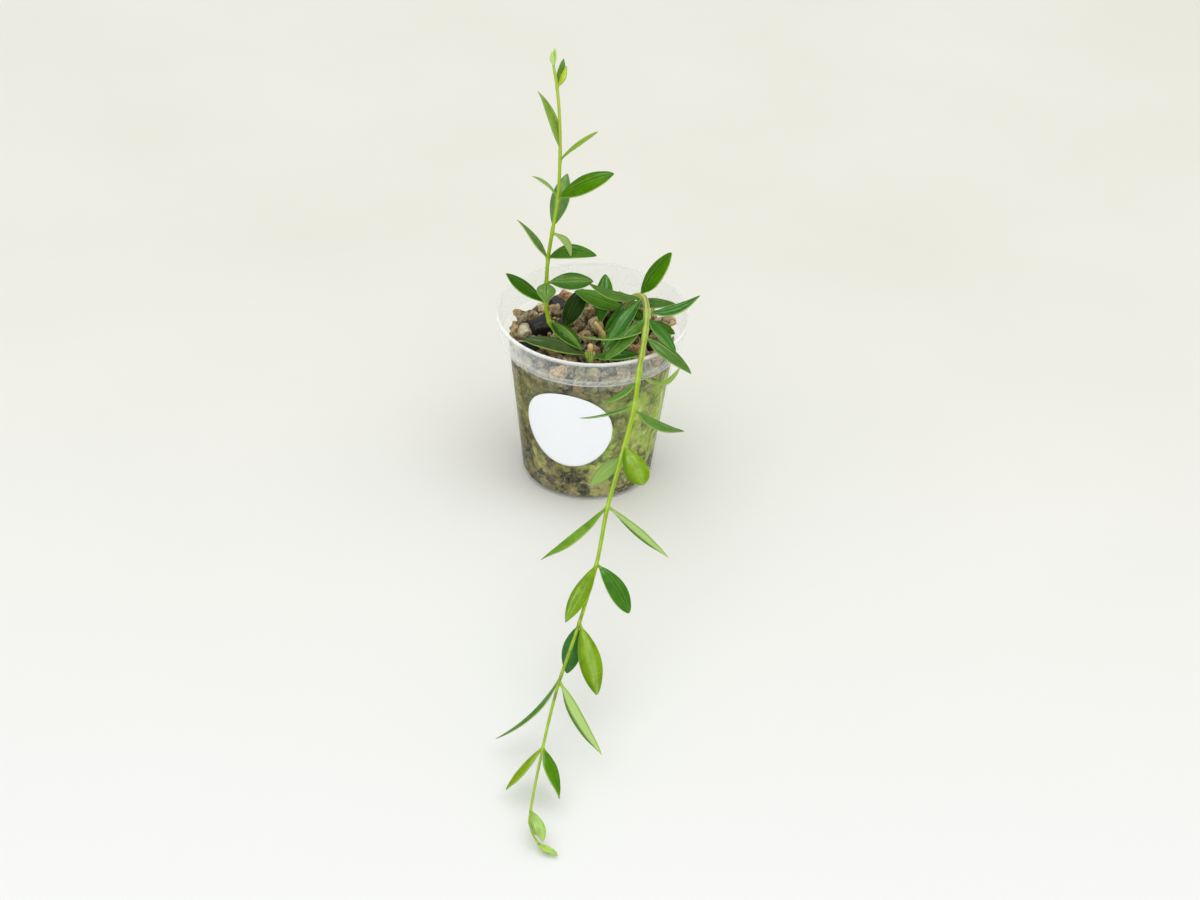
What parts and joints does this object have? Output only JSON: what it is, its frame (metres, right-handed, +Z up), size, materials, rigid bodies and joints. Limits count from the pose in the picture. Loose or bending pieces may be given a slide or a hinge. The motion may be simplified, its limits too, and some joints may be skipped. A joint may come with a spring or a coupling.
{
  "type": "potted hoya engleriana",
  "caption": "Small wax plant in a clear tapered nursery pot: one upright leafy shoot, one shoot trailing over the rim to the table, short cuttings in pumice.",
  "frame": {"origin": "middle of the pot's foot, on the surface that it stands on", "axes": "+Z up, the trailing shoot runs towards -Y, +X to the right seen from the trailing shoot's side"},
  "size_m": [0.0733, 0.2541, 0.1725],
  "materials": {
    "clear_plastic": "clear, slightly hazy",
    "sticker_paper": "satin",
    "pumice": "porous, matte",
    "bark": "charred, matte",
    "shoot_green": "waxy, satin",
    "cutting_green": "waxy, satin"
  },
  "bodies": {
    "root": {"pot": "clear_plastic", "sticker": "sticker_paper", "bed": "pumice", "bark_1": "bark", "bark_2": "bark", "bark_3": "bark", "bark_4": "bark", "bark_5": "bark", "bark_6": "bark", "bark_7": "bark", "bark_8": "bark", "upright_shoot": "shoot_green", "trailing_shoot": "shoot_green", "stub_cutting": "cutting_green", "back_cutting": "cutting_green", "middle_cutting": "cutting_green", "front_cutting": "cutting_green", "right_cutting": "cutting_green"}
  },
  "joints": []
}
